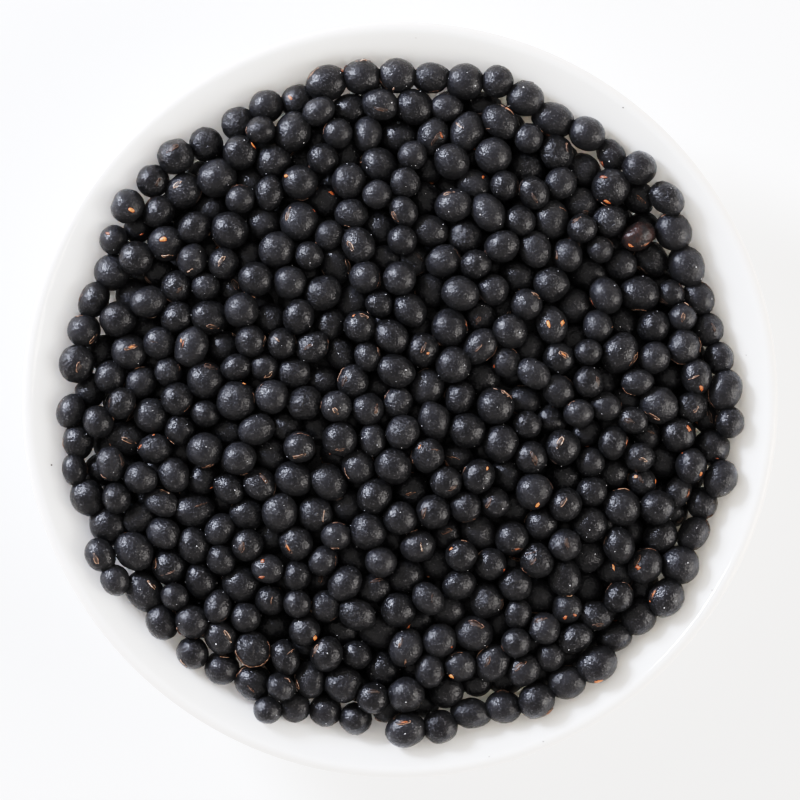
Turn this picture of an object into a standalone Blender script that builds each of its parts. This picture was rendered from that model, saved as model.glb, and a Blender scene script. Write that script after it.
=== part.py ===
"""A shallow white porcelain bowl heaped with dried black beans.

Units are metres. The origin is the centre of the foot ring's resting plane, with +Z up.
Two solids: the turned bowl, and the heap, a core with the beans that show fused on.
"""

import math

import bmesh
import bpy
import numpy as np
from mathutils import Matrix, Vector

# Bowl
RIM_RADIUS = 0.0900
HEIGHT = 0.0320
LIP_ROUND = 0.0016
LIP_LEAN = math.radians(44)
FLOOR_RADIUS = 0.0400
FLOOR_Z = 0.0075
BASE_THICKNESS = 0.0048
FOOT_RADIUS = 0.0450
FOOT_WIDTH = 0.0050
FOOT_CHAMFER = 0.0007
FOOT_TAPER = 0.0015
RECESS_Z = 0.0030
WALL_POINTS = 9
LIP_POINTS = 4
BOWL_STEPS = 48

# Surface of the mound
MOUND_RADIUS = 0.0800
MOUND_EDGE = HEIGHT - 0.0006
MOUND_RISE = 0.0086
SWELL = 0.0003
SWELL_WAVES = (2, 3, 5)
ROUGH_DOWN = 0.0012
ROUGH_UP = 0.0013
ROUGHER_AT_EDGE = 1.3

# Beans, laid in a bed under that surface
BEANS = 800
BED_RADIUS = 0.0760
BED_DEPTH = 0.0165
BEAN_RADIUS = 0.00395
BEAN_SPREAD = 0.00034
BEAN_LEAST = 0.0033
BEAN_MOST = 0.0046
LONGEST = 1.28
ALONG_WALL_FROM = 0.0700
ALONG_WALL_SPREAD = 0.25
DISH_CLEARANCE = 0.0004
SEED = 11
SETTLE_STEPS = 360
LIFT_STEPS = 230
LIFT = 0.00025
PUSH = 0.7
LOOK_EVERY = 8
LOOK_AHEAD = 0.0012
WALL_SAMPLES = 60
FLOOR_SAMPLES = 12

# Core under the beans that show
CORE_SINK = 0.0043
CORE_TOP_RADIUS = 0.0735
CORE_EDGE_RADIUS = 0.0785
CORE_GAP = 0.0004
CORE_STEPS = 24
CORE_RINGS = 3
LEAST_SHOWING = 0.0012
COVERED_WITHIN = 0.85
MOST_BEANS = 250
BEAN_SWELL = 1.08
WALL_DIP = math.radians(35)

LIP_CENTRE = (RIM_RADIUS - LIP_ROUND, HEIGHT - LIP_ROUND)
WALL_END = (
    LIP_CENTRE[0] - LIP_ROUND * math.cos(LIP_LEAN),
    LIP_CENTRE[1] + LIP_ROUND * math.sin(LIP_LEAN),
)
WALL_WIDTH = WALL_END[0] - FLOOR_RADIUS
WALL_RISE = WALL_END[1] - FLOOR_Z
# The wall is an ellipse's arc that leaves the floor level and ends at the lip's lean.
WALL_ANGLE = math.acos(1 / (WALL_WIDTH / WALL_RISE / math.tan(LIP_LEAN) - 1))


def clear_scene():
    for obj in list(bpy.data.objects):
        bpy.data.objects.remove(obj, do_unlink=True)


def make_material(name, color, roughness):
    material = bpy.data.materials.new(name)
    material.use_nodes = True
    shader = material.node_tree.nodes["Principled BSDF"]
    shader.inputs["Base Color"].default_value = (*color, 1.0)
    shader.inputs["Roughness"].default_value = roughness
    shader.inputs["Metallic"].default_value = 0.0
    return material


def inner_wall(turns):
    """Radius and height along the inner wall, at turns from 0 at the floor's edge to 1 at the lip."""
    angles = np.asarray(turns) * WALL_ANGLE
    radius = FLOOR_RADIUS + WALL_WIDTH * np.sin(angles) / math.sin(WALL_ANGLE)
    height = FLOOR_Z + WALL_RISE * (1 - np.cos(angles)) / (1 - math.cos(WALL_ANGLE))
    return radius, height


def offset_wall(turns, distances):
    """The inner wall moved along its normal, outwards for a positive distance."""
    turns = np.asarray(turns)
    angles = turns * WALL_ANGLE
    run = WALL_WIDTH * np.cos(angles) / math.sin(WALL_ANGLE)
    rise = WALL_RISE * np.sin(angles) / (1 - math.cos(WALL_ANGLE))
    length = np.hypot(run, rise)
    radius, height = inner_wall(turns)
    return radius + distances * rise / length, height - distances * run / length


def wall_thickness(turns):
    return BASE_THICKNESS + (2 * LIP_ROUND - BASE_THICKNESS) * np.asarray(turns)


def bowl_profile():
    """Closed outline of the bowl: inner floor, inner wall, lip, outer wall, foot and underside."""
    radius, height = inner_wall(np.linspace(0, 1, WALL_POINTS))
    points = [(0.0, FLOOR_Z), *zip(radius, height)]

    for sweep in np.linspace(math.pi - LIP_LEAN, -LIP_LEAN, LIP_POINTS + 2)[1:-1]:
        over = (
            LIP_CENTRE[0] + LIP_ROUND * math.cos(sweep),
            LIP_CENTRE[1] + LIP_ROUND * math.sin(sweep),
        )
        points.append(over)

    fine = np.linspace(0, 1, 200)
    outer_radius, _ = offset_wall(fine, wall_thickness(fine))
    foot_turn = np.interp(FOOT_RADIUS, outer_radius, fine)
    turns = np.linspace(1, foot_turn, WALL_POINTS - 1)
    points += zip(*offset_wall(turns, wall_thickness(turns)))

    foot_inside = FOOT_RADIUS - FOOT_WIDTH
    points += [
        (FOOT_RADIUS, FOOT_CHAMFER),
        (FOOT_RADIUS - FOOT_CHAMFER, 0.0),
        (foot_inside + FOOT_CHAMFER, 0.0),
        (foot_inside, FOOT_CHAMFER),
        (foot_inside - FOOT_TAPER, RECESS_Z),
        (0.0, RECESS_Z),
    ]
    return points


def turned_object(name, profile, steps, collection):
    """A profile at +X, from the axis round to the axis again, turned about Z."""
    mesh = bpy.data.meshes.new(name)
    edges = [(i, i + 1) for i in range(len(profile) - 1)]
    mesh.from_pydata([(r, 0.0, z) for r, z in profile], edges, [])
    obj = bpy.data.objects.new(name, mesh)
    collection.objects.link(obj)
    screw = obj.modifiers.new("Turn", "SCREW")
    screw.axis = "Z"
    screw.steps = steps
    screw.render_steps = steps
    screw.use_merge_vertices = True
    screw.merge_threshold = 0.00001
    return obj


def mound_height(radius):
    """Height of the mound's surface, which the tops of the upper beans reach."""
    return MOUND_EDGE + MOUND_RISE * (1 - (radius / MOUND_RADIUS) ** 2)


def close_pairs(place, size):
    """Every pair of beans that touch or nearly touch, as two lists of numbers."""
    apart = np.sqrt(((place[:, None, :] - place[None, :, :]) ** 2).sum(axis=2))
    near = apart < size[:, None] + size[None, :] + LOOK_AHEAD
    return np.nonzero(np.triu(near, 1))


def push_apart(place, size, pairs):
    first, second = pairs
    between = place[first] - place[second]
    apart = np.sqrt((between**2).sum(axis=1)) + 1e-9
    overlap = np.clip(size[first] + size[second] - apart, 0, None)
    push = between * (PUSH * 0.5 * overlap / apart)[:, None]
    for axis in range(3):
        place[:, axis] += np.bincount(first, push[:, axis], len(place))
        place[:, axis] -= np.bincount(second, push[:, axis], len(place))


def push_off_dish(place, size, outline):
    """Moves each bean that reaches the dish off it, along the line from the dish's nearest point."""
    radius = np.hypot(place[:, 0], place[:, 1])
    aside = radius[:, None] - outline[0]
    above = place[:, 2][:, None] - outline[1]
    row = np.arange(len(place))
    nearest = (aside**2 + above**2).argmin(axis=1)
    aside = aside[row, nearest]
    above = above[row, nearest]
    apart = np.hypot(aside, above) + 1e-9
    wall = np.interp(place[:, 2], outline[1], outline[0], right=RIM_RADIUS)
    side = np.where(radius < wall, 1, -1)
    lack = np.clip(size + DISH_CLEARANCE - side * apart, 0, None) * side / apart
    place[:, :2] *= (1 + aside * lack / radius)[:, None]
    place[:, 2] += above * lack


def settle_beans():
    """A bed of beans packed against the underside of the mound's surface.

    Each row is x, y, z, radius, long axis over short axis, and the long axis's turn about Z.
    """
    random = np.random.default_rng(SEED)
    size = random.normal(BEAN_RADIUS, BEAN_SPREAD, BEANS)
    size = np.clip(size, BEAN_LEAST, BEAN_MOST)
    turn = 2 * math.pi * random.random(BEANS)
    away = BED_RADIUS * np.sqrt(random.random(BEANS))
    deep = BED_DEPTH * random.random(BEANS)
    place = np.column_stack([away * np.cos(turn), away * np.sin(turn), mound_height(away) - deep])
    rough = random.uniform(-ROUGH_DOWN, ROUGH_UP, BEANS)
    phases = random.uniform(0, 2 * math.pi, len(SWELL_WAVES))

    floor = np.linspace(0, FLOOR_RADIUS, FLOOR_SAMPLES, endpoint=False)
    wall_radius, wall_height = inner_wall(np.linspace(0, 1, WALL_SAMPLES))
    outline = (
        np.append(floor, wall_radius),
        np.append(np.full(FLOOR_SAMPLES, FLOOR_Z), wall_height),
    )

    for step in range(SETTLE_STEPS):
        if step % LOOK_EVERY == 0:
            pairs = close_pairs(place, size)
        if step < LIFT_STEPS:
            place[:, 2] += LIFT
        push_apart(place, size, pairs)
        bearing = np.arctan2(place[:, 1], place[:, 0])
        outward = np.hypot(place[:, 0], place[:, 1]) / MOUND_RADIUS
        swell = sum(np.cos(n * bearing + phase) for n, phase in zip(SWELL_WAVES, phases))
        top = mound_height(outward * MOUND_RADIUS) + SWELL * swell * outward
        top += rough * (1 + ROUGHER_AT_EDGE * outward**6)
        place[:, 2] = np.minimum(place[:, 2], top - size)
        push_off_dish(place, size, outline)

    length = 1 + (LONGEST - 1) * random.random(BEANS) ** 2
    yaw = math.pi * random.random(BEANS)
    at_wall = np.hypot(place[:, 0], place[:, 1]) > ALONG_WALL_FROM
    along = np.arctan2(place[:, 0], -place[:, 1]) + ALONG_WALL_SPREAD * (yaw - math.pi / 2)
    return np.column_stack([place, size, length, np.where(at_wall, along, yaw)])


def core_height(radius):
    """Height of the core's top, which falls away near the wall so that the dish shows between the beans."""
    turns = np.linspace(0, 1, WALL_SAMPLES)
    wall_radius, wall_height = offset_wall(turns, -CORE_GAP)
    edge = np.interp(CORE_EDGE_RADIUS, wall_radius, wall_height)
    shoulder = mound_height(CORE_TOP_RADIUS) - CORE_SINK
    slope = np.interp(radius, (CORE_TOP_RADIUS, CORE_EDGE_RADIUS), (shoulder, edge))
    return np.where(radius < CORE_TOP_RADIUS, mound_height(radius) - CORE_SINK, slope)


def spread_out(places, taken, count):
    """Numbers of the places that are picked one after another, each as far as can be from those before it."""
    nearest = np.hypot(*(places[:, None] - taken[None]).transpose(2, 0, 1)).min(axis=1)
    picked = []
    for _ in range(count):
        farthest = int(nearest.argmax())
        picked.append(farthest)
        nearest = np.minimum(nearest, np.hypot(*(places - places[farthest]).T))
    return picked


def beans_that_show(beans):
    """The beans that stand out of the core with no higher bean over them.

    Where they are too many, all of those along the wall stay and the rest are thinned evenly.
    """
    radius = np.hypot(beans[:, 0], beans[:, 1])
    showing = beans[:, 2] + beans[:, 3] - core_height(radius)
    apart = np.hypot(*(beans[:, None, :2] - beans[None, :, :2]).transpose(2, 0, 1))
    close = apart < COVERED_WITHIN * (beans[:, None, 3] + beans[None, :, 3])
    higher = beans[None, :, 2] > beans[:, None, 2]
    on_top = ~(close & higher).any(axis=1) & (showing > LEAST_SHOWING)
    at_wall = beans[on_top & (radius > ALONG_WALL_FROM)]
    inside = beans[on_top & (radius <= ALONG_WALL_FROM)]
    kept = min(len(inside), MOST_BEANS - len(at_wall))
    print(f"{len(at_wall)} beans along the wall, and {kept} of the {len(inside)} others that show")
    return np.vstack([at_wall, inside[spread_out(inside[:, :2], at_wall[:, :2], kept)]])


def core_profile():
    """Outline of the core: the lowered mound on top, and the dish's inside with a gap below."""
    top = np.linspace(0, CORE_TOP_RADIUS, CORE_RINGS + 1)
    points = list(zip(top, core_height(top)))
    turns = np.linspace(0, 1, WALL_SAMPLES)
    radius, _ = offset_wall(turns, -CORE_GAP)
    edge_turn = np.interp(CORE_EDGE_RADIUS, radius, turns)
    points += zip(*offset_wall(np.linspace(edge_turn, 0, WALL_POINTS - 2), -CORE_GAP))
    points.append((0.0, FLOOR_Z + CORE_GAP))
    return points


def make_bean(bean, spin, collection):
    """A bean with twenty sides at its true size, stretched along its long axis, with a side towards the dish."""
    x, y, z, size, length, yaw = bean
    across = size * BEAN_SWELL / length ** (1 / 3)
    bearing = math.atan2(y, x)
    level = math.cos(WALL_DIP)
    outward = Vector((level * math.cos(bearing), level * math.sin(bearing), -math.sin(WALL_DIP)))

    builder = bmesh.new()
    bmesh.ops.create_icosphere(builder, subdivisions=1, radius=1.0)
    side = next(iter(builder.faces)).calc_center_median()
    face_dish = side.rotation_difference(outward).to_matrix().to_4x4()
    turn = Matrix.Rotation(yaw, 4, "Z")
    stretch = Matrix.Diagonal((across * length, across, across, 1))
    builder.transform(Matrix.Rotation(spin, 4, outward) @ face_dish)
    builder.transform(Matrix.Translation(Vector((x, y, z))) @ turn @ stretch @ turn.inverted())
    mesh = bpy.data.meshes.new("bean")
    builder.to_mesh(mesh)
    builder.free()
    collection.objects.link(bpy.data.objects.new("bean", mesh))


def keep_largest_body(mesh):
    """Drops each loose bean that the core doesn't reach, and fills each hollow that fusing sealed."""
    builder = bmesh.new()
    builder.from_mesh(mesh)
    unseen = set(builder.verts)
    bodies = []
    while unseen:
        body = set()
        front = [unseen.pop()]
        while front:
            vert = front.pop()
            body.add(vert)
            linked = {edge.other_vert(vert) for edge in vert.link_edges} & unseen
            unseen -= linked
            front += linked
        bodies.append(body)
    bodies.sort(key=len)
    print(f"{len(bodies) - 1} loose pieces or hollows dropped")
    extra = [vert for body in bodies[:-1] for vert in body]
    bmesh.ops.delete(builder, geom=extra, context="VERTS")
    builder.to_mesh(mesh)
    builder.free()


def make_bowl(collection):
    bowl = turned_object("bowl", bowl_profile(), BOWL_STEPS, collection)
    bowl.data.materials.append(make_material("porcelain", (0.90, 0.90, 0.91), 0.12))
    return bowl


def make_heap(collection):
    """The core with the beans that show fused on, as one body."""
    heap = turned_object("beans", core_profile(), CORE_STEPS, collection)
    loose = bpy.data.collections.new("loose_beans")
    bpy.context.scene.collection.children.link(loose)
    shown = beans_that_show(settle_beans())
    random = np.random.default_rng(SEED)
    for bean, spin in zip(shown, random.uniform(0, 2 * math.pi, len(shown))):
        make_bean(bean, spin, loose)

    union = heap.modifiers.new("Fuse", "BOOLEAN")
    union.operation = "UNION"
    union.operand_type = "COLLECTION"
    union.collection = loose
    union.solver = "EXACT"

    bpy.context.view_layer.update()
    graph = bpy.context.evaluated_depsgraph_get()
    fused = bpy.data.meshes.new_from_object(heap.evaluated_get(graph))
    heap.modifiers.clear()
    heap.data = fused
    for obj in list(loose.objects):
        bpy.data.objects.remove(obj, do_unlink=True)
    bpy.data.collections.remove(loose)

    keep_largest_body(fused)
    fused.materials.clear()
    fused.materials.append(make_material("black_seed_coat", (0.020, 0.020, 0.022), 0.45))
    return heap


def main():
    clear_scene()
    collection = bpy.data.collections.new("bowl_of_dried_beans")
    bpy.context.scene.collection.children.link(collection)
    for obj in (make_bowl(collection), make_heap(collection)):
        obj.data.shade_smooth()
        obj.data.set_sharp_from_angle(angle=math.radians(40))


main()
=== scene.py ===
import math

import bmesh
import bpy
import numpy as np
from mathutils import Matrix, Vector, noise


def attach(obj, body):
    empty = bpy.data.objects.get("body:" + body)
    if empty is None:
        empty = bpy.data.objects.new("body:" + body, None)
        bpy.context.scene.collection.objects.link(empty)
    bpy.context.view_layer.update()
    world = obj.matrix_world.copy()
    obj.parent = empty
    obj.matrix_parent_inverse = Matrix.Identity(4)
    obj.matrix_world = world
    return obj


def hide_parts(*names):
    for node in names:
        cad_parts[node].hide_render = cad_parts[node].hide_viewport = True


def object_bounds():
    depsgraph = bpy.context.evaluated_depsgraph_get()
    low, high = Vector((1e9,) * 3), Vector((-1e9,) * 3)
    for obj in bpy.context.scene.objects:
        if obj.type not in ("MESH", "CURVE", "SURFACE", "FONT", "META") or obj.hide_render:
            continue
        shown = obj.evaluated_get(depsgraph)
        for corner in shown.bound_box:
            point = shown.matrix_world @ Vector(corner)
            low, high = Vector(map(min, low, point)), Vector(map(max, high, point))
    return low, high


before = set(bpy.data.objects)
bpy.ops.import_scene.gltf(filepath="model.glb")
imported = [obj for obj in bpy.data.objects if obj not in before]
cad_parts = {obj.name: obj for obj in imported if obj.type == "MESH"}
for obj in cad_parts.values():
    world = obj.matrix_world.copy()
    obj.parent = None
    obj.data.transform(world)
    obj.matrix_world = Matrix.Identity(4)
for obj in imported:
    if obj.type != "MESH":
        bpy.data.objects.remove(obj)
cadLow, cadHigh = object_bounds()
print("frame loaded, box top at", round(cadHigh[2] * 1000, 2), "mm")

mm = 0.001


# small helpers

def finishPiece(name, builder, materials, node):
    mesh = bpy.data.meshes.new(name)
    builder.to_mesh(mesh)
    builder.free()
    return finishMesh(name, mesh, materials, node)


def finishMesh(name, mesh, materials, node):
    # one object at the origin, with its place in its mesh, riding with the bowl
    for material in materials:
        mesh.materials.append(material)
    mesh.shade_smooth()
    piece = bpy.data.objects.new(name, mesh)
    bpy.context.scene.collection.objects.link(piece)
    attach(piece, "root")
    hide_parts(node)
    print(name, "has", sum(len(face.vertices) - 2 for face in mesh.polygons), "triangles")
    return piece


def newMaterial(name):
    material = bpy.data.materials.new(name)
    material.use_nodes = True
    return material, material.node_tree.nodes["Principled BSDF"]


def addNode(material, kind, **inputs):
    node = material.node_tree.nodes.new(kind)
    for label, value in inputs.items():
        node.inputs[label].default_value = value
    return node


def join(material, source, target):
    material.node_tree.links.new(source, target)


def noiseAt(material, scale, detail=3.0, roughness=0.5):
    # noise on the object's own coordinates, scale in bumps per metre
    place = addNode(material, "ShaderNodeTexCoord")
    texture = addNode(material, "ShaderNodeTexNoise", Scale=scale, Detail=detail, Roughness=roughness)
    join(material, place.outputs["Object"], texture.inputs["Vector"])
    return texture.outputs["Fac"]


def attributeOf(material, name):
    node = addNode(material, "ShaderNodeAttribute")
    node.attribute_name = name
    return node.outputs["Fac"]


def ramp(material, source, stops):
    node = addNode(material, "ShaderNodeValToRGB")
    band = node.color_ramp
    while len(band.elements) < len(stops):
        band.elements.new(0.5)
    for element, (position, color) in zip(band.elements, stops):
        element.position = position
        element.color = (*color, 1)
    join(material, source, node.inputs["Fac"])
    return node.outputs["Color"]


def remap(material, source, low, high, toLow, toHigh):
    node = addNode(material, "ShaderNodeMapRange")
    node.inputs["From Min"].default_value = low
    node.inputs["From Max"].default_value = high
    node.inputs["To Min"].default_value = toLow
    node.inputs["To Max"].default_value = toHigh
    join(material, source, node.inputs["Value"])
    return node.outputs["Result"]


def mathOf(material, operation, first, second):
    node = addNode(material, "ShaderNodeMath")
    node.operation = operation
    for value, socket in zip((first, second), node.inputs):
        if isinstance(value, (int, float)):
            socket.default_value = value
        else:
            join(material, value, socket)
    return node.outputs["Value"]


def plus(material, first, second):
    return mathOf(material, "ADD", first, second)


def times(material, first, second):
    return mathOf(material, "MULTIPLY", first, second)


def mixColors(material, share, first, second):
    node = addNode(material, "ShaderNodeMix")
    node.data_type = "RGBA"
    for value, label in ((share, "Factor"), (first, "A"), (second, "B")):
        kind = "VALUE" if label == "Factor" else "RGBA"
        socket = next(s for s in node.inputs if s.name == label and s.type == kind)
        if isinstance(value, tuple):
            socket.default_value = (*value, 1)
        elif isinstance(value, (int, float)):
            socket.default_value = value
        else:
            join(material, value, socket)
    return next(s for s in node.outputs if s.type == "RGBA")


def bumpOf(material, height, distance, below=None, strength=1.0):
    node = addNode(material, "ShaderNodeBump", Strength=strength, Distance=distance)
    join(material, height, node.inputs["Height"])
    if below is not None:
        join(material, below, node.inputs["Normal"])
    return node.outputs["Normal"]


# materials

glaze = {
    # edge is painted warm light on the lip's outer rounding, laid on from edgeFrom to edgeTo
    "white": (0.86, 0.86, 0.865), "cream": (0.85, 0.84, 0.82), "edge": (0.85, 0.80, 0.76),
    "cloudScale": 14, "whiteTo": 0.35, "creamFrom": 0.70,
    "edgeFrom": 88.0 * mm, "edgeTo": 89.8 * mm,
    "glossScale": 45, "gloss": (0.3, 0.7, 0.08, 0.13),
    "waveScale": 70, "wave": 0.2 * mm, "waviness": 0.05, "index": 1.52,
    "spread": 0.75, "spreadColor": (1.0, 0.98, 0.96), "spreadReach": 3.6 * mm,
}
bareClay = {
    "dark": (0.50, 0.46, 0.41), "pale": (0.66, 0.63, 0.58), "darkTo": 0.30, "paleFrom": 0.72,
    "scale": 1500, "grain": 0.05 * mm, "coarseness": 0.4, "roughness": 0.85,
}


def glazeMaterial():
    material, shader = newMaterial("whiteGlaze")
    cloud = noiseAt(material, glaze["cloudScale"], 2)
    tones = [(glaze["whiteTo"], glaze["white"]), (glaze["creamFrom"], glaze["cream"])]
    cloud = ramp(material, cloud, tones)
    # painted warm light: the outer side of the lip is tinted warmer, standing in for the light its rounding
    # catches
    place = addNode(material, "ShaderNodeTexCoord")
    level = addNode(material, "ShaderNodeVectorMath")
    level.operation = "MULTIPLY"
    level.inputs[1].default_value = (1, 1, 0)
    join(material, place.outputs["Object"], level.inputs[0])
    away = addNode(material, "ShaderNodeVectorMath")
    away.operation = "LENGTH"
    join(material, level.outputs["Vector"], away.inputs[0])
    paintedLipLight = remap(material, away.outputs["Value"], glaze["edgeFrom"], glaze["edgeTo"], 0.0, 1.0)
    join(material, mixColors(material, paintedLipLight, cloud, glaze["edge"]), shader.inputs["Base Color"])
    gloss = remap(material, noiseAt(material, glaze["glossScale"], 4), *glaze["gloss"])
    join(material, gloss, shader.inputs["Roughness"])
    waves = noiseAt(material, glaze["waveScale"], 2)
    wave = bumpOf(material, waves, glaze["wave"], strength=glaze["waviness"])
    join(material, wave, shader.inputs["Normal"])
    shader.inputs["IOR"].default_value = glaze["index"]
    # light spreads a little inside porcelain, which softens the shadows where the beans touch it
    shader.inputs["Subsurface Weight"].default_value = glaze["spread"]
    shader.inputs["Subsurface Radius"].default_value = glaze["spreadColor"]
    shader.inputs["Subsurface Scale"].default_value = glaze["spreadReach"]
    return material


def biscuitMaterial():
    # the unglazed clay that the foot stands on
    material, shader = newMaterial("barePorcelain")
    grain = noiseAt(material, bareClay["scale"], 5, 0.7)
    tones = [(bareClay["darkTo"], bareClay["dark"]), (bareClay["paleFrom"], bareClay["pale"])]
    join(material, ramp(material, grain, tones), shader.inputs["Base Color"])
    shader.inputs["Roughness"].default_value = bareClay["roughness"]
    coarse = bumpOf(material, grain, bareClay["grain"], strength=bareClay["coarseness"])
    join(material, coarse, shader.inputs["Normal"])
    return material


# where four numbers stand together, noise from the first to the second gives the third to the fourth
seedCoat = {
    "black": (0.0032, 0.0032, 0.0037), "charcoal": (0.0105, 0.0105, 0.0116),
    "dust": (0.098, 0.098, 0.102), "brown": (0.019, 0.0092, 0.0070), "sheen": (0.92, 0.91, 1.0),
    "blotchScale": 420, "bloomScale": 1700, "dimpleScale": 800, "grainScale": 1700, "foldScale": 1500,
    "byBloom": 0.8, "byTone": 0.30, "byBlotch": 0.3, "blackTo": 0.52, "charcoalFrom": 0.86,
    "dusty": (0.56, 0.68, 0.0, 0.80), "dustyPatch": (0.40, 0.62, 0.10, 1.0),
    "peeledPatch": (0.40, 0.56, 0.15, 1.0), "creasedPatch": (0.44, 0.54, 0.0, 1.0),
    "satin": (0.38, 0.62, 0.34, 0.54), "satinByTone": 0.20,
    "polish": 1.0, "polishRoughness": 0.16, "index": 1.255,
    "grain": 0.22 * mm, "dimples": 0.09 * mm, "crumple": 0.22 * mm,
}


def seedCoatMaterial():
    material, shader = newMaterial("blackSeedCoat")
    tone = attributeOf(material, "beanTone")
    wear = attributeOf(material, "beanWear")
    crease = attributeOf(material, "beanCrease")
    blotches = noiseAt(material, seedCoat["blotchScale"], 4, 0.6)
    bloom = noiseAt(material, seedCoat["bloomScale"], 4, 0.75)

    shade = times(material, bloom, seedCoat["byBloom"])
    shade = plus(material, shade, times(material, tone, seedCoat["byTone"]))
    shade = plus(material, shade, times(material, blotches, seedCoat["byBlotch"]))
    tones = [(seedCoat["blackTo"], seedCoat["black"]), (seedCoat["charcoalFrom"], seedCoat["charcoal"])]
    coat = ramp(material, shade, tones)
    dusty = remap(material, bloom, *seedCoat["dusty"])
    dusty = times(material, dusty, remap(material, blotches, *seedCoat["dustyPatch"]))
    coat = mixColors(material, dusty, coat, seedCoat["dust"])
    peeled = times(material, wear, remap(material, blotches, *seedCoat["peeledPatch"]))
    coat = mixColors(material, peeled, coat, seedCoat["brown"])
    join(material, coat, shader.inputs["Base Color"])

    satin = remap(material, bloom, *seedCoat["satin"])
    satin = plus(material, satin, times(material, tone, seedCoat["satinByTone"]))
    join(material, satin, shader.inputs["Roughness"])
    # fine grain all over, and crumpled patches where a bean is creased
    dimples = bumpOf(material, noiseAt(material, seedCoat["dimpleScale"], 1), seedCoat["dimples"])
    grain = bumpOf(material, noiseAt(material, seedCoat["grainScale"], 2, 0.6), seedCoat["grain"], dimples)
    patch = times(material, crease, remap(material, blotches, *seedCoat["creasedPatch"]))
    folds = times(material, noiseAt(material, seedCoat["foldScale"], 2, 0.6), patch)
    skin = bumpOf(material, folds, seedCoat["crumple"], grain)
    join(material, skin, shader.inputs["Normal"])
    join(material, skin, shader.inputs["Coat Normal"])
    shader.inputs["IOR"].default_value = seedCoat["index"]
    shader.inputs["Specular Tint"].default_value = (*seedCoat["sheen"], 1)
    shader.inputs["Coat Weight"].default_value = seedCoat["polish"]
    shader.inputs["Coat Roughness"].default_value = seedCoat["polishRoughness"]
    shader.inputs["Coat IOR"].default_value = seedCoat["index"]
    return material


# dry edges of the hilum and of splits in the coat
paleScar = {
    "scale": 2000, "coarse": 0.5, "bySpeckle": 0.8, "byTone": 0.4, "roughness": 0.55,
    "colors": [
        (0.42, (0.020, 0.012, 0.009)), (0.57, (0.11, 0.058, 0.038)),
        (0.75, (0.32, 0.19, 0.125)), (0.94, (0.64, 0.52, 0.43)),
    ],
}
# seed flesh that shows where the coat is chipped
orangeChip = {
    "scale": 3200, "coarse": 0.7, "bySpeckle": 0.9, "byTone": 0.45, "roughness": 0.42,
    "colors": [
        (0.34, (0.05, 0.015, 0.009)), (0.56, (0.30, 0.080, 0.028)),
        (0.76, (0.56, 0.18, 0.055)), (0.96, (0.68, 0.34, 0.16)),
    ],
}


def markMaterial(name, look):
    # speckled, and each mark lighter or darker by its own tone
    material, shader = newMaterial(name)
    speckle = times(material, noiseAt(material, look["scale"], 3, look["coarse"]), look["bySpeckle"])
    shade = plus(material, speckle, times(material, attributeOf(material, "beanTone"), look["byTone"]))
    join(material, ramp(material, shade, look["colors"]), shader.inputs["Base Color"])
    shader.inputs["Roughness"].default_value = look["roughness"]
    return material


def plainMaterial(name, low, high, scale, roughness):
    material, shader = newMaterial(name)
    mottle = ramp(material, noiseAt(material, scale), [(0.35, low), (0.65, high)])
    join(material, mottle, shader.inputs["Base Color"])
    shader.inputs["Roughness"].default_value = roughness
    return material


# the bowl, turned from one outline

bowl = {
    "rimRadius": 90.0 * mm, "height": 32.0 * mm,
    "lipRound": 1.6 * mm, "lipLean": math.radians(44),
    "floorRadius": 40.0 * mm, "floorHeight": 7.5 * mm, "baseThickness": 4.8 * mm,
    "footRadius": 45.0 * mm, "footWidth": 5.0 * mm,
    "footTaper": 1.5 * mm, "recess": 3.0 * mm, "footRound": 0.7 * mm,
    "lipPoints": 14, "footPoints": 5, "wallPoints": 28, "steps": 168,
}
lipRadius = bowl["rimRadius"] - bowl["lipRound"]
lipHeight = bowl["height"] - bowl["lipRound"]
wallEnd = (
    lipRadius - bowl["lipRound"] * math.cos(bowl["lipLean"]),
    lipHeight + bowl["lipRound"] * math.sin(bowl["lipLean"]),
)
wallWidth = wallEnd[0] - bowl["floorRadius"]
wallRise = wallEnd[1] - bowl["floorHeight"]
wallAngle = math.acos(1 / (wallWidth / wallRise / math.tan(bowl["lipLean"]) - 1))


def innerWall(turns):
    # an ellipse's arc that leaves the floor level and ends at the lip's lean
    angles = np.asarray(turns) * wallAngle
    radius = bowl["floorRadius"] + wallWidth * np.sin(angles) / math.sin(wallAngle)
    height = bowl["floorHeight"] + wallRise * (1 - np.cos(angles)) / (1 - math.cos(wallAngle))
    return radius, height


def outerWall(turns):
    turns = np.asarray(turns)
    angles = turns * wallAngle
    run = wallWidth * np.cos(angles) / math.sin(wallAngle)
    rise = wallRise * np.sin(angles) / (1 - math.cos(wallAngle))
    thick = bowl["baseThickness"] + (2 * bowl["lipRound"] - bowl["baseThickness"]) * turns
    radius, height = innerWall(turns)
    slope = np.hypot(run, rise)
    return radius + thick * rise / slope, height - thick * run / slope


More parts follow.
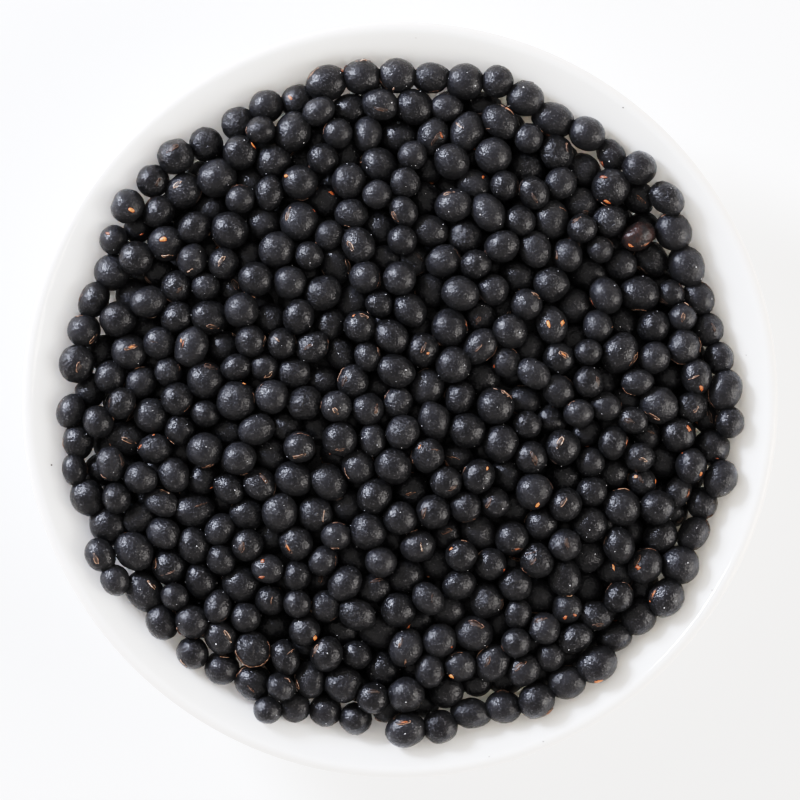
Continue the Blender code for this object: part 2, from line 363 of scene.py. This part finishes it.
def makeBowl():
    builder = bmesh.new()
    turns = np.linspace(0, 1, bowl["wallPoints"])
    points = [(0.0, bowl["floorHeight"])] + list(zip(*innerWall(turns)))
    for sweep in np.linspace(math.pi - bowl["lipLean"], -bowl["lipLean"], bowl["lipPoints"])[1:-1]:
        aside = bowl["lipRound"] * math.cos(sweep)
        points.append((lipRadius + aside, lipHeight + bowl["lipRound"] * math.sin(sweep)))
    outerRadius, _ = outerWall(turns)
    footTurn = np.interp(bowl["footRadius"], outerRadius, turns)
    points += list(zip(*outerWall(np.linspace(1, footTurn, bowl["wallPoints"]))))
    footInside = bowl["footRadius"] - bowl["footWidth"]
    corners = [
        (bowl["footRadius"], 0.0), (footInside, 0.0),
        (footInside - bowl["footTaper"], bowl["recess"]), (0.0, bowl["recess"]),
    ]
    outline = [builder.verts.new((r, 0, z)) for r, z in points + corners]
    for first, second in zip(outline, outline[1:]):
        builder.edges.new((first, second))
    # round the foot's edges and the corners that the glaze softens
    soft = outline[-4:-1] + [outline[len(points) - 1]]
    bmesh.ops.bevel(
        builder, geom=soft, affect="VERTICES", offset=bowl["footRound"], segments=bowl["footPoints"],
        profile=0.5, material=-1,
    )
    bmesh.ops.spin(
        builder, geom=builder.verts[:] + builder.edges[:], cent=(0, 0, 0), axis=(0, 0, 1),
        dvec=(0, 0, 0), angle=2 * math.pi, steps=bowl["steps"], use_merge=True,
    )
    bmesh.ops.remove_doubles(builder, verts=builder.verts, dist=0.001 * mm)
    bmesh.ops.recalc_face_normals(builder, faces=builder.faces)
    for face in builder.faces:
        # the glaze is wiped off where the foot stands
        face.material_index = 1 if face.calc_center_median().z < 0.25 * mm else 0
    finishPiece("glazedBowl", builder, [glazeMaterial(), biscuitMaterial()], "bowl")


def bowlSurface(x, y):
    # height and normal of the bowl's inside under a point
    radius = math.hypot(x, y)
    outward = Vector((x, y, 0)).normalized()
    wallRadius, wallHeight = innerWall(np.linspace(0, 1, 80))
    if radius < wallRadius[-1]:
        height = float(np.interp(radius, wallRadius, wallHeight))
        ahead = float(np.interp(radius + 0.2 * mm, wallRadius, wallHeight))
        slope = (ahead - height) / (0.2 * mm)
        return height, (Vector((0, 0, 1)) - outward * slope).normalized()
    aside = min(radius - lipRadius, bowl["lipRound"])
    height = lipHeight + math.sqrt(max(bowl["lipRound"] ** 2 - aside**2, 0))
    return height, (outward * aside + Vector((0, 0, height - lipHeight))).normalized()


# how the beans lie, worked out as the solids' source does it

bed = {
    "moundRadius": 80.0 * mm, "moundEdge": 31.4 * mm, "moundRise": 8.6 * mm,
    "swell": 0.3 * mm, "swellWaves": (2, 3, 5),
    "roughDown": 1.2 * mm, "roughUp": 1.3 * mm, "rougherAtEdge": 1.3,
    "beans": 800, "radius": 76.0 * mm, "depth": 16.5 * mm,
    "beanRadius": 3.95 * mm, "beanSpread": 0.34 * mm, "beanLeast": 3.3 * mm, "beanMost": 4.6 * mm,
    "longest": 1.28, "alongWallFrom": 70.0 * mm, "alongWallSpread": 0.25,
    "dishClearance": 0.4 * mm, "seed": 11, "fullness": 1.03,
    "settleSteps": 360, "liftSteps": 230, "lift": 0.25 * mm, "push": 0.7,
    "lookEvery": 8, "lookAhead": 1.2 * mm, "wallSamples": 60, "floorSamples": 12,
}


def moundHeight(radius):
    return bed["moundEdge"] + bed["moundRise"] * (1 - (radius / bed["moundRadius"]) ** 2)


def closePairs(place, size):
    apart = np.sqrt(((place[:, None, :] - place[None, :, :]) ** 2).sum(axis=2))
    near = apart < size[:, None] + size[None, :] + bed["lookAhead"]
    return np.nonzero(np.triu(near, 1))


def pushApart(place, size, pairs):
    first, second = pairs
    between = place[first] - place[second]
    apart = np.sqrt((between**2).sum(axis=1)) + 1e-9
    overlap = np.clip(size[first] + size[second] - apart, 0, None)
    push = between * (bed["push"] * 0.5 * overlap / apart)[:, None]
    for axis in range(3):
        place[:, axis] += np.bincount(first, push[:, axis], len(place))
        place[:, axis] -= np.bincount(second, push[:, axis], len(place))


def pushOffDish(place, size, outline):
    radius = np.hypot(place[:, 0], place[:, 1])
    aside = radius[:, None] - outline[0]
    above = place[:, 2][:, None] - outline[1]
    row = np.arange(len(place))
    nearest = (aside**2 + above**2).argmin(axis=1)
    aside = aside[row, nearest]
    above = above[row, nearest]
    apart = np.hypot(aside, above) + 1e-9
    wall = np.interp(place[:, 2], outline[1], outline[0], right=bowl["rimRadius"])
    side = np.where(radius < wall, 1, -1)
    lack = np.clip(size + bed["dishClearance"] - side * apart, 0, None) * side / apart
    place[:, :2] *= (1 + aside * lack / radius)[:, None]
    place[:, 2] += above * lack


def settleBeans():
    # rows of x, y, z, radius, length over width, turn about Z
    count = bed["beans"]
    random = np.random.default_rng(bed["seed"])
    size = random.normal(bed["beanRadius"], bed["beanSpread"], count)
    size = np.clip(size, bed["beanLeast"], bed["beanMost"])
    turn = 2 * math.pi * random.random(count)
    away = bed["radius"] * np.sqrt(random.random(count))
    deep = bed["depth"] * random.random(count)
    place = np.column_stack([away * np.cos(turn), away * np.sin(turn), moundHeight(away) - deep])
    rough = random.uniform(-bed["roughDown"], bed["roughUp"], count)
    phases = random.uniform(0, 2 * math.pi, len(bed["swellWaves"]))

    samples = bed["floorSamples"]
    floorRadius = np.linspace(0, bowl["floorRadius"], samples, endpoint=False)
    wallRadius, wallHeight = innerWall(np.linspace(0, 1, bed["wallSamples"]))
    floorHeight = np.full(samples, bowl["floorHeight"])
    outline = (np.append(floorRadius, wallRadius), np.append(floorHeight, wallHeight))

    for step in range(bed["settleSteps"]):
        if step % bed["lookEvery"] == 0:
            pairs = closePairs(place, size)
        if step < bed["liftSteps"]:
            place[:, 2] += bed["lift"]
        pushApart(place, size, pairs)
        bearing = np.arctan2(place[:, 1], place[:, 0])
        outward = np.hypot(place[:, 0], place[:, 1]) / bed["moundRadius"]
        swell = sum(np.cos(n * bearing + phase) for n, phase in zip(bed["swellWaves"], phases))
        top = moundHeight(outward * bed["moundRadius"]) + bed["swell"] * swell * outward
        top += rough * (1 + bed["rougherAtEdge"] * outward**6)
        place[:, 2] = np.minimum(place[:, 2], top - size)
        pushOffDish(place, size, outline)

    length = 1 + (bed["longest"] - 1) * random.random(count) ** 2
    yaw = math.pi * random.random(count)
    atWall = np.hypot(place[:, 0], place[:, 1]) > bed["alongWallFrom"]
    along = np.arctan2(place[:, 0], -place[:, 1]) + bed["alongWallSpread"] * (yaw - math.pi / 2)
    return np.column_stack([place, size, length, np.where(atWall, along, yaw)])


# the beans

beanKinds = {
    "plumpBeans": {
        "share": 0.50, "lumps": 0.045, "dents": (0, 0), "dentDepth": 0.0, "wrinkles": 0.0, "nub": 0.0,
        "crease": 0.05, "rounds": 3,
    },
    "nubbedBeans": {
        "share": 0.14, "lumps": 0.045, "dents": (0, 1), "dentDepth": 0.05, "wrinkles": 0.0, "nub": 0.075,
        "crease": 0.15, "rounds": 3,
    },
    "dentedBeans": {
        "share": 0.22, "lumps": 0.060, "dents": (1, 3), "dentDepth": 0.10, "wrinkles": 0.004, "nub": 0.0,
        "crease": 0.35, "rounds": 3,
    },
    "wrinkledBeans": {
        "share": 0.14, "lumps": 0.060, "dents": (1, 2), "dentDepth": 0.09, "wrinkles": 0.022, "nub": 0.0,
        "crease": 1.0, "rounds": 4,
    },
}
buriedBeans = {"below": 6.2 * mm, "lumps": 0.03, "rounds": 2}
# lengths in shares of the bean's radius, angles in radians
beanForm = {
    "flattest": 0.93, "tilt": 0.3, "tiltAtWall": 0.3, "reachOver": 1.03,
    "lumpScale": 1.5, "smallLumps": 0.5, "smallLumpScale": 3.2, "wrinkleScale": 6,
    "dentWidth": (0.45, 0.85), "dentShare": (0.5, 1.1), "nubWidth": 0.42, "nubRise": 0.35,
}


class Bean:
    def __init__(self, row, random):
        x, y, z, size, length, yaw = row
        self.random = random
        self.depth = moundHeight(math.hypot(x, y)) - z - size
        across = bed["fullness"] * size / length ** (1 / 3)
        atWall = math.hypot(x, y) > bed["alongWallFrom"]
        flat = random.uniform(beanForm["flattest"], 1.0)
        tilt = random.uniform(-beanForm["tilt"], beanForm["tilt"])
        if atWall:
            tilt *= beanForm["tiltAtWall"]
        turned = Matrix.Rotation(yaw, 4, "Z") @ Matrix.Rotation(tilt, 4, "Y")
        turned = turned @ Matrix.Rotation(random.uniform(0, 2 * math.pi), 4, "X")
        stretched = turned @ Matrix.Diagonal((across * length, across / flat**0.5, across * flat, 1))
        reach = beanForm["reachOver"] * Vector(stretched[2][:3]).length
        z = min(z, cadHigh[2] - reach)
        self.matrix = Matrix.Translation((x, y, z)) @ stretched
        self.tone = random.random()
        self.wear = 0.0
        self.crease = 0.0
        self.seat = Vector(random.uniform(-50, 50, 3))
        self.lumps = self.wrinkles = self.nub = self.dentDepth = 0.0
        self.dents = []

    def takeForm(self, kind):
        self.lumps = kind["lumps"]
        self.wrinkles = kind["wrinkles"]
        self.nub = kind["nub"]
        self.crease = kind["crease"] * self.random.uniform(0.5, 1.0)
        self.nubAt = Vector((1, self.random.uniform(-0.2, 0.2), beanForm["nubRise"])).normalized()
        for _ in range(self.random.integers(kind["dents"][0], kind["dents"][1] + 1)):
            way = self.anyWay()
            width = self.random.uniform(*beanForm["dentWidth"])
            self.dents.append((way, width, kind["dentDepth"] * self.random.uniform(*beanForm["dentShare"])))

    def anyWay(self):
        return Vector(self.random.normal(size=3)).normalized()

    def out(self, way):
        # distance from the bean's middle to its skin, for a bean of radius 1
        reach = 1 + self.lumps * noise.noise(way * beanForm["lumpScale"] + self.seat)
        small = noise.noise(way * beanForm["smallLumpScale"] - self.seat)
        reach += self.lumps * beanForm["smallLumps"] * small
        for at, width, depth in self.dents:
            near = 1 - (way - at).length / width
            if near > 0:
                reach -= depth * near * near * (3 - 2 * near)
        if self.nub:
            near = 1 - (way - self.nubAt).length / beanForm["nubWidth"]
            if near > 0:
                reach += self.nub * near * near
        if self.wrinkles:
            reach += self.wrinkles * noise.noise(way * beanForm["wrinkleScale"] + self.seat)
        return reach

    def onSkin(self, way, height=0.0):
        way = way.normalized()
        return self.matrix @ (way * (self.out(way) + height))

    def nearLimb(self, bearing, lean):
        # the place on the bean that faces this bearing and leans this far from straight up,
        # and the turn that lays a mark there along the outline that shows from above
        inverse = self.matrix.to_3x3().inverted()
        up = (inverse @ Vector((0, 0, 1))).normalized()
        aside = inverse @ Vector((math.cos(bearing), math.sin(bearing), 0))
        aside = (aside - up * aside.dot(up)).normalized()
        way = up * math.cos(lean) + aside * math.sin(lean)
        along, across = frameAt(self, way, 0)
        tangent = up.cross(way)
        return way, math.atan2(tangent.dot(across), tangent.dot(along))


def shapeOf(builder):
    # points and faces of a small shape that is laid many times, bent afresh each time
    builder.verts.index_update()
    points = [vert.co.copy() for vert in builder.verts]
    faces = [[vert.index for vert in face.verts] for face in builder.faces]
    builder.free()
    return points, faces


def ballShape(rounds):
    builder = bmesh.new()
    bmesh.ops.create_icosphere(builder, subdivisions=rounds, radius=1)
    return shapeOf(builder)


def ringShape(thick, steps):
    builder = bmesh.new()
    section = bmesh.ops.create_circle(builder, segments=4, radius=thick)["verts"]
    bmesh.ops.rotate(builder, verts=section, cent=(0, 0, 0), matrix=Matrix.Rotation(math.pi / 2, 3, "X"))
    bmesh.ops.translate(builder, verts=section, vec=(1, 0, 0))
    bmesh.ops.spin(
        builder, geom=builder.verts[:] + builder.edges[:], cent=(0, 0, 0), axis=(0, 0, 1),
        dvec=(0, 0, 0), angle=2 * math.pi, steps=steps, use_merge=True,
    )
    bmesh.ops.recalc_face_normals(builder, faces=builder.faces)
    return shapeOf(builder)


def newHeap():
    return {"points": [], "faces": [], "beanTone": [], "beanWear": [], "beanCrease": []}


def addShape(heap, shape, points, bean, tone=None):
    start = len(heap["points"])
    heap["points"] += points
    heap["faces"] += [[start + corner for corner in face] for face in shape[1]]
    heap["beanTone"] += [bean.tone if tone is None else tone] * len(points)
    heap["beanWear"] += [bean.wear] * len(points)
    heap["beanCrease"] += [bean.crease] * len(points)


def finishHeap(name, heap, material):
    mesh = bpy.data.meshes.new(name)
    mesh.from_pydata(heap["points"], [], heap["faces"])
    for label in ("beanTone", "beanWear", "beanCrease"):
        values = mesh.attributes.new(label, "FLOAT", "POINT")
        values.data.foreach_set("value", heap[label])
    return finishMesh(name, mesh, [material], "beans")


def addBean(heap, bean, ball):
    addShape(heap, ball, [bean.onSkin(point) for point in ball[0]], bean)


def frameAt(bean, way, turn):
    # two directions along the skin at this place, the first turned by an angle from the bean's length
    way = way.normalized()
    along = Vector((1, 0, 0)) - way * way.x
    along = along.normalized() if along.length > 0.2 else way.orthogonal().normalized()
    across = way.cross(along)
    lengthways = along * math.cos(turn) + across * math.sin(turn)
    return lengthways, across * math.cos(turn) - along * math.sin(turn)


def addRing(heap, ring, bean, way, turn, length, width, tone):
    # a thin raised ring, laid on the skin as a long oval that dips under it here and there
    along, across = frameAt(bean, way, turn)
    wobble = bean.random.uniform(0, 6)
    points = []
    for x, y, z in ring[0]:
        angle = math.atan2(y, x)
        offset = math.hypot(x, y) - 1
        uneven = 1 + 0.14 * math.sin(2 * angle + wobble) + 0.10 * math.sin(5 * angle + 3 * wobble)
        u = (length * uneven + offset) * math.cos(angle)
        v = (width * uneven + offset) * math.sin(angle)
        dip = marks["dip"] * (0.35 + math.sin(angle + wobble) + 0.9 * math.sin(3 * angle + 2 * wobble))
        points.append(bean.onSkin(way + along * u + across * v, z - dip))
    addShape(heap, ring, points, bean, tone)


def addSpot(heap, ball, bean, way, turn, length, width, thick, tone):
    # a small flake or grain half sunk in the skin
    along, across = frameAt(bean, way, turn)
    shift = Vector((bean.random.uniform(-50, 50), 0, 0))
    points = []
    for point in ball[0]:
        point = point * (1 + 0.9 * noise.noise(point * 1.9 + shift))
        place = way + along * point.x * length + across * point.y * width
        points.append(bean.onSkin(place, point.z * thick))
    addShape(heap, ball, points, bean, tone)


# the one bean with brown seed showing through its coat, and the chip at its lower left
peeledBean = {
    "at": (57.6 * mm, 44.3 * mm), "size": 0.88,
    "chipFrom": 230, "chipLean": 48, "chipLong": 0.16, "chipWide": 0.09, "chipTone": 0.3,
}


def makeBeans(coat):
    random = np.random.default_rng(bed["seed"] + 1)
    beans = [Bean(row, random) for row in settleBeans()]
    shown = [bean for bean in beans if bean.depth < buriedBeans["below"]]
    deep = [bean for bean in beans if bean.depth >= buriedBeans["below"]]
    print(len(shown), "beans in the upper layers,", len(deep), "under them")
    peeled = nearestBean(shown, peeledBean["at"])
    peeled.wear = 1.0
    peeled.matrix = peeled.matrix @ Matrix.Scale(peeledBean["size"], 4)

    names = list(beanKinds)
    shares = np.array([beanKinds[name]["share"] for name in names])
    heaps = {name: newHeap() for name in names}
    balls = {rounds: ballShape(rounds) for rounds in (2, 3, 4)}
    for bean in shown:
        name = names[int(random.choice(len(names), p=shares / shares.sum()))]
        bean.takeForm(beanKinds[name])
        addBean(heaps[name], bean, balls[beanKinds[name]["rounds"]])
    for name, heap in heaps.items():
        finishHeap(name, heap, coat)

    heap = newHeap()
    for bean in deep:
        bean.lumps = buriedBeans["lumps"]
        addBean(heap, bean, balls[buriedBeans["rounds"]])
    finishHeap("buriedBeans", heap, coat)
    return shown


# shares are of the beans, lengths of the bean's radius, leans in degrees from straight up
marks = {
    "hilumShare": 0.70, "hilumLong": (0.24, 0.42), "hilumWide": (0.24, 0.40),
    "patchLong": 0.85, "patchWide": 0.28, "patchThick": 0.008, "patchTone": (-0.35, 0.0),
    "fleshShare": 0.12, "fleshLong": 0.5, "fleshWide": 0.12, "fleshThick": 0.02, "fleshTone": (0.0, 0.5),
    "splitShare": 0.20, "splitLong": (0.15, 0.45), "splitWide": 0.03,
    "limbShare": 0.24, "limbLean": (58, 76), "limbLong": (0.20, 0.55), "limbWide": 0.02,
    "limbTone": (0.1, 0.8),
    "chipShare": 0.14, "twoChipsShare": 0.02, "chipSize": (0.08, 0.22), "chipWide": (0.35, 0.75),
    "chipThick": 0.015, "chipLeast": 0.3, "chipTone": 0.85,
    "dustPerBean": 2.4, "dustSize": (0.014, 0.042), "dustThick": 0.02,
    "thinEdge": 0.017, "thickEdge": 0.022, "dip": 0.026,
}
crackedBean = {
    "at": (-34.3 * mm, -59.8 * mm), "from": -175, "to": 10, "step": 26,
    "lean": 66, "long": 0.34, "tone": (0.45, 0.95),
}
paleDust = {"low": (0.30, 0.30, 0.31), "high": (0.75, 0.75, 0.77), "scale": 900, "roughness": 0.7}


def nearestBean(beans, place):
    return min(beans, key=lambda bean: (bean.matrix.translation.xy - Vector(place)).length + bean.depth)


def addCrack(heap, ring, bean):
    # one bean whose coat has split all along its outline
    for bearing in range(crackedBean["from"], crackedBean["to"], crackedBean["step"]):
        way, turn = bean.nearLimb(math.radians(bearing), math.radians(crackedBean["lean"]))
        tone = bean.random.uniform(*crackedBean["tone"])
        addRing(heap, ring, bean, way, turn, crackedBean["long"], marks["limbWide"], tone)


def addHilum(scars, chips, ring, flake, bean):
    # a dark patch with a pale edge around it, and now and then flesh inside
    random = bean.random
    hilum = Vector((random.uniform(-0.15, 0.15), 0, 1)).normalized()
    if random.random() >= marks["hilumShare"]:
        return
    long = random.uniform(*marks["hilumLong"])
    turn = random.uniform(-0.15, 0.15)
    tone = random.uniform(*marks["patchTone"])
    patch = (long * marks["patchLong"], long * marks["patchWide"], marks["patchThick"])
    addSpot(scars, flake, bean, hilum, turn, *patch, tone)
    wide = long * random.uniform(*marks["hilumWide"])
    addRing(scars, ring, bean, hilum, turn, long, wide, random.random())
    if random.random() < marks["fleshShare"]:
        flesh = (long * marks["fleshLong"], long * marks["fleshWide"], marks["fleshThick"])
        addSpot(chips, flake, bean, hilum, turn, *flesh, random.uniform(*marks["fleshTone"]))


def addSplits(scars, ring, bean):
    # thin splits in the coat, anywhere or along the outline seen from above
    random = bean.random
    if random.random() < marks["splitShare"]:
        long = random.uniform(*marks["splitLong"])
        way = bean.anyWay()
        turn = random.uniform(0, 3)
        addRing(scars, ring, bean, way, turn, long, marks["splitWide"], random.random())
    if random.random() < marks["limbShare"]:
        bearing = random.uniform(0, 2 * math.pi)
        way, turn = bean.nearLimb(bearing, math.radians(random.uniform(*marks["limbLean"])))
        long = random.uniform(*marks["limbLong"])
        addRing(scars, ring, bean, way, turn, long, marks["limbWide"], random.uniform(*marks["limbTone"]))


def addChips(chips, flake, bean):
    random = bean.random
    chipped = random.random()
    count = 0 if chipped > marks["chipShare"] else (2 if chipped < marks["twoChipsShare"] else 1)
    for _ in range(count):
        size = random.uniform(*marks["chipSize"])
        bearing = random.uniform(0, 2 * math.pi)
        way, turn = bean.nearLimb(bearing, math.acos(random.uniform(marks["chipLeast"], 1.0)))
        turn += random.uniform(0, 3)
        wide = size * random.uniform(*marks["chipWide"])
        tone = marks["chipTone"] * random.random() ** 1.3
        addSpot(chips, flake, bean, way, turn, size, wide, marks["chipThick"], tone)


def addDust(dust, grain, bean):
    random = bean.random
    for _ in range(random.poisson(marks["dustPerBean"])):
        size = random.uniform(*marks["dustSize"])
        way = bean.anyWay()
        addSpot(dust, grain, bean, way, 0, size, size * 0.8, marks["dustThick"], random.random())


def makeMarks(shown):
    scars, chips, dust = newHeap(), newHeap(), newHeap()
    thinRing, thickRing = ringShape(marks["thinEdge"], 16), ringShape(marks["thickEdge"], 20)
    grain, flake = ballShape(1), ballShape(2)
    for bean in shown:
        addHilum(scars, chips, thickRing, flake, bean)
        addSplits(scars, thinRing, bean)
        addChips(chips, flake, bean)
        addDust(dust, grain, bean)
    addCrack(scars, thinRing, nearestBean(shown, crackedBean["at"]))
    peeled = nearestBean(shown, peeledBean["at"])
    way, turn = peeled.nearLimb(math.radians(peeledBean["chipFrom"]), math.radians(peeledBean["chipLean"]))
    chip = (peeledBean["chipLong"], peeledBean["chipWide"], marks["chipThick"])
    addSpot(chips, flake, peeled, way, turn, *chip, peeledBean["chipTone"])
    finishHeap("hilumScars", scars, markMaterial("paleScar", paleScar))
    finishHeap("coatChips", chips, markMaterial("orangeChip", orangeChip))
    finishHeap("dustGrains", dust, plainMaterial("paleDust", **paleDust))


core = {
    "sink": 11.0 * mm, "topRadius": 66.0 * mm, "edgeRadius": 72.0 * mm, "gap": 0.5 * mm,
    "rough": 1.6 * mm, "roughScale": 260, "rings": 12, "steps": 72,
}


def makeCore(coat):
    # what lies under the layers of beans
    builder = bmesh.new()
    top = np.linspace(0, core["topRadius"], core["rings"])
    points = list(zip(top, moundHeight(top) - core["sink"]))
    wallRadius, wallHeight = innerWall(np.linspace(0, 1, 60))
    edgeTurn = np.interp(core["edgeRadius"], wallRadius, np.linspace(0, 1, 60))
    radius, height = innerWall(np.linspace(edgeTurn, 0, 10))
    points += list(zip(radius - core["gap"], height + core["gap"]))
    points.append((0.0, bowl["floorHeight"] + core["gap"]))
    outline = [builder.verts.new((r, 0, z)) for r, z in points]
    for first, second in zip(outline, outline[1:]):
        builder.edges.new((first, second))
    bmesh.ops.spin(
        builder, geom=builder.verts[:] + builder.edges[:], cent=(0, 0, 0), axis=(0, 0, 1),
        dvec=(0, 0, 0), angle=2 * math.pi, steps=core["steps"], use_merge=True,
    )
    bmesh.ops.remove_doubles(builder, verts=builder.verts, dist=0.001 * mm)
    bmesh.ops.recalc_face_normals(builder, faces=builder.faces)
    for vert in builder.verts:
        radius = math.hypot(vert.co.x, vert.co.y)
        if radius < core["topRadius"] and vert.co.z > bowl["floorHeight"] + 4 * mm:
            vert.co.z += core["rough"] * noise.noise(vert.co * core["roughScale"])
    finishPiece("bedCore", builder, [coat], "beans")


# dirt on the dish, at the places where the photograph shows it

dishSpecks = {
    "pixels": [(51, 465), (623, 108), (712, 590), (747, 355), (543, 741), (489, 756), (416, 38)],
    "radii": [0.30, 0.26, 0.24, 0.20, 0.22, 0.18, 0.16],
    "middlePixel": 400, "perPixel": 90.0 * mm / 378,
    "ragged": 0.5, "raggedScale": 2500, "flattened": (1, 0.8, 0.5),
}
darkDirt = {"low": (0.030, 0.022, 0.018), "high": (0.075, 0.058, 0.048), "scale": 3000, "roughness": 0.7}


def makeSpecks():
    builder = bmesh.new()
    for (px, py), size in zip(dishSpecks["pixels"], dishSpecks["radii"]):
        x = (px - dishSpecks["middlePixel"]) * dishSpecks["perPixel"]
        y = (dishSpecks["middlePixel"] - py) * dishSpecks["perPixel"]
        height, normal = bowlSurface(x, y)
        made = bmesh.ops.create_icosphere(builder, subdivisions=2, radius=size * mm)["verts"]
        for vert in made:
            bump = noise.noise(vert.co * dishSpecks["raggedScale"] + Vector((px, py, 0)))
            vert.co *= 1 + dishSpecks["ragged"] * bump
        turn = Vector((0, 0, 1)).rotation_difference(normal).to_matrix()
        bmesh.ops.scale(builder, verts=made, vec=dishSpecks["flattened"])
        bmesh.ops.rotate(builder, verts=made, cent=(0, 0, 0), matrix=turn)
        bmesh.ops.translate(builder, verts=made, vec=(x, y, height))
    finishPiece("dishSpecks", builder, [plainMaterial("darkDirt", **darkDirt)], "bowl")


# floor, light and camera; distances in metres, powers in watts, the sensor in millimetres

studio = {
    "camera": 1.10, "sensor": 36, "frame": 800 / 756 * 180 * mm,
    "keyFrom": (-0.726, 0.540, 0.425), "keyAway": 1.25, "keySize": 0.38, "keyPower": 42.0,
    "keyColor": (0.80, 0.86, 1.0),
    "fillFrom": (0.888, -0.218, 0.404), "fillAway": 1.25, "fillSize": 0.68, "fillPower": 13.8,
    "fillColor": (1.0, 0.97, 0.92),
    # the air's strength at the horizon, at three quarters of the way up and overhead
    "air": [(0.0, 1.66), (0.75, 1.28), (1.0, 0.80)], "airMost": 2.0, "airColor": (1.0, 0.965, 0.925),
    "floorSize": 3.0, "floorTone": 0.90, "floorGlow": 0.30, "floorRoughness": 0.9, "floorDrop": 0.05 * mm,
    # what the picture shows for light in the scene, up to the brightest
    "tones": [
        (0.015, 0.0075), (0.037, 0.0175), (0.062, 0.040), (0.10, 0.088), (0.30, 0.34),
        (0.62, 0.615), (1.0, 0.76), (1.4, 0.835), (1.9, 0.885),
    ],
    "white": 2.5, "whiteShown": 0.95,
}


def addSoftbox(name, side):
    light = bpy.data.lights.new(name, "AREA")
    light.shape = "DISK"
    light.size = studio[side + "Size"]
    light.energy = studio[side + "Power"]
    light.color = studio[side + "Color"]
    lamp = bpy.data.objects.new(name, light)
    lamp.location = Vector(studio[side + "From"]).normalized() * studio[side + "Away"]
    lamp.rotation_euler = lamp.location.to_track_quat("Z", "Y").to_euler()
    bpy.context.scene.collection.objects.link(lamp)


def makeFloor():
    builder = bmesh.new()
    bmesh.ops.create_grid(builder, x_segments=1, y_segments=1, size=studio["floorSize"])
    mesh = bpy.data.meshes.new("floor")
    builder.to_mesh(mesh)
    builder.free()
    material, shader = newMaterial("paleFloor")
    shader.inputs["Base Color"].default_value = (*[studio["floorTone"]] * 3, 1)
    shader.inputs["Roughness"].default_value = studio["floorRoughness"]
    shader.inputs["Emission Color"].default_value = (1, 1, 1, 1)
    shader.inputs["Emission Strength"].default_value = studio["floorGlow"]
    mesh.materials.append(material)
    floor = bpy.data.objects.new("floor", mesh)
    floor.location.z = -studio["floorDrop"]
    bpy.context.scene.collection.objects.link(floor)


def makeAir():
    # bright near the horizon and dim overhead
    world = bpy.data.worlds.new("softAir")
    world.use_nodes = True
    nodes, links = world.node_tree.nodes, world.node_tree.links
    place = nodes.new("ShaderNodeTexCoord")
    parts = nodes.new("ShaderNodeSeparateXYZ")
    links.new(place.outputs["Generated"], parts.inputs["Vector"])
    height = nodes.new("ShaderNodeFloatCurve")
    points = height.mapping.curves[0].points
    points.new(*studio["air"][1])
    for point, (position, strength) in zip(points, studio["air"]):
        point.location = (position, strength / studio["airMost"])
    height.mapping.update()
    scaled = nodes.new("ShaderNodeMath")
    scaled.operation = "MULTIPLY"
    scaled.inputs[1].default_value = studio["airMost"]
    links.new(parts.outputs["Z"], height.inputs["Value"])
    links.new(height.outputs["Value"], scaled.inputs[0])
    links.new(scaled.outputs["Value"], nodes["Background"].inputs["Strength"])
    nodes["Background"].inputs["Color"].default_value = (*studio["airColor"], 1)
    bpy.context.scene.world = world


def makeCamera():
    lens = bpy.data.cameras.new("topCamera")
    lens.sensor_width = studio["sensor"]
    lens.lens = studio["sensor"] * (studio["camera"] - lipHeight) / studio["frame"]
    camera = bpy.data.objects.new("topCamera", lens)
    camera.location = (0, 0, studio["camera"])
    bpy.context.scene.collection.objects.link(camera)
    bpy.context.scene.camera = camera


def setTones():
    # a photograph's tones: deep blacks, and whites that level off slowly
    view = bpy.context.scene.view_settings
    view.view_transform = "Standard"
    view.use_curve_mapping = True
    view.curve_mapping.white_level = [studio["white"]] * 3
    curve = view.curve_mapping.curves[3]
    for scene, shown in studio["tones"]:
        curve.points.new(scene / studio["white"], shown)
    curve.points[-1].location = (1, studio["whiteShown"])
    view.curve_mapping.update()


def makeStudio():
    makeFloor()
    addSoftbox("keySoftbox", "key")
    addSoftbox("fillSoftbox", "fill")
    makeAir()
    makeCamera()
    setTones()
    print("studio ready")


makeBowl()
makeSpecks()
coat = seedCoatMaterial()
shown = makeBeans(coat)
makeMarks(shown)
makeCore(coat)
makeStudio()
